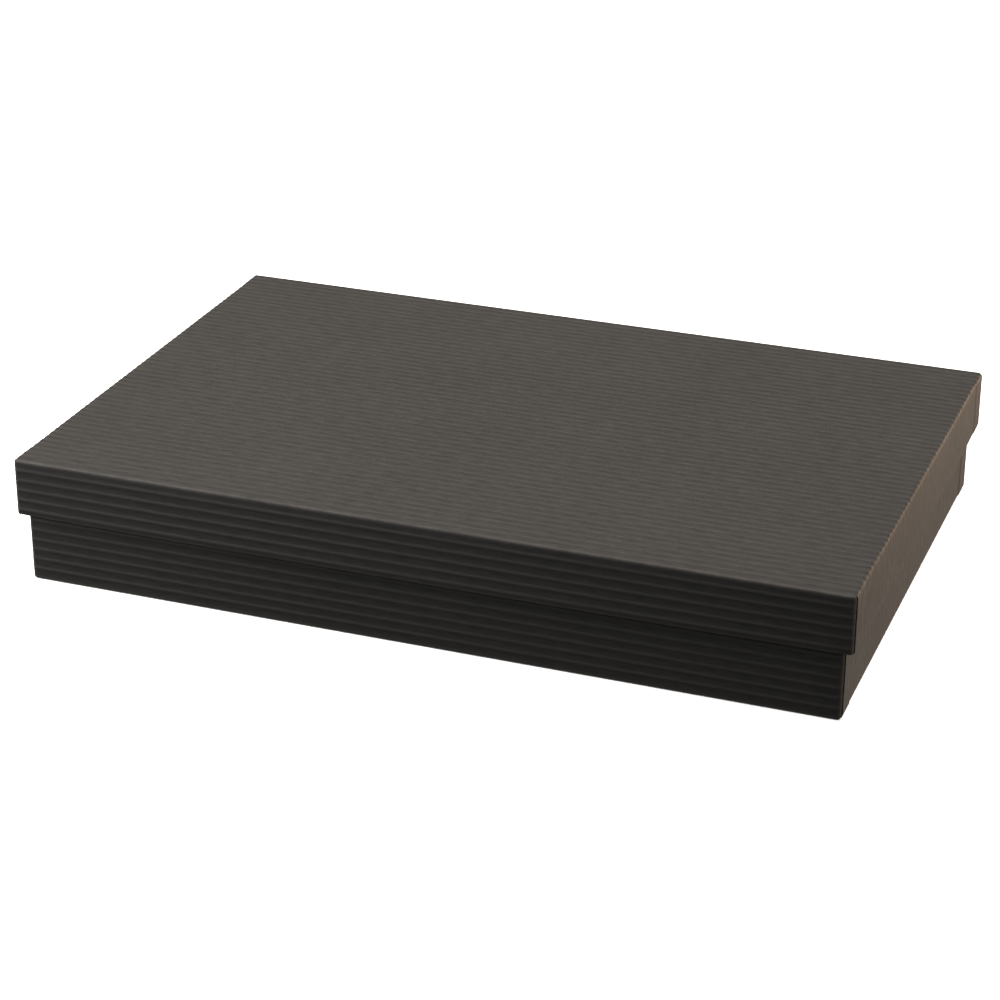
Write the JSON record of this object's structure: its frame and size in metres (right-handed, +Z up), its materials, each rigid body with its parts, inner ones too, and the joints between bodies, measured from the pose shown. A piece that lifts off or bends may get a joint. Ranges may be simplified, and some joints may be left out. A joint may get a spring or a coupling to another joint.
{
  "type": "gift box",
  "caption": "Rigid two-piece gift box: shallow paper-covered base tray with a lift-off telescoping lid in dark ribbed paper.",
  "frame": {"origin": "under the middle of the base, on the surface that it stands on", "axes": "+Z up, the way the lid lifts; +X along the long sides, +Y across them from front to back"},
  "size_m": [0.33, 0.22, 0.0515],
  "materials": {
    "greyboard": "matte",
    "kraft_tape": "matte",
    "ribbed_paper": "matte",
    "lining_paper": "matte"
  },
  "bodies": {
    "base": {"base_board": "greyboard", "base_corner_stay_front_left": "kraft_tape", "base_corner_stay_front_right": "kraft_tape", "base_corner_stay_back_left": "kraft_tape", "base_corner_stay_back_right": "kraft_tape", "base_cover": "ribbed_paper", "base_lining": "lining_paper"},
    "lid": {"lid_board": "greyboard", "lid_corner_stay_front_left": "kraft_tape", "lid_corner_stay_front_right": "kraft_tape", "lid_corner_stay_back_left": "kraft_tape", "lid_corner_stay_back_right": "kraft_tape", "lid_cover": "ribbed_paper", "lid_lining": "lining_paper"}
  },
  "joints": [
    {"name": "lid_lift", "type": "slide", "parent": "base", "child": "lid", "axis": [0, 0, 1], "range_m": [0, 0.08]}
  ]
}
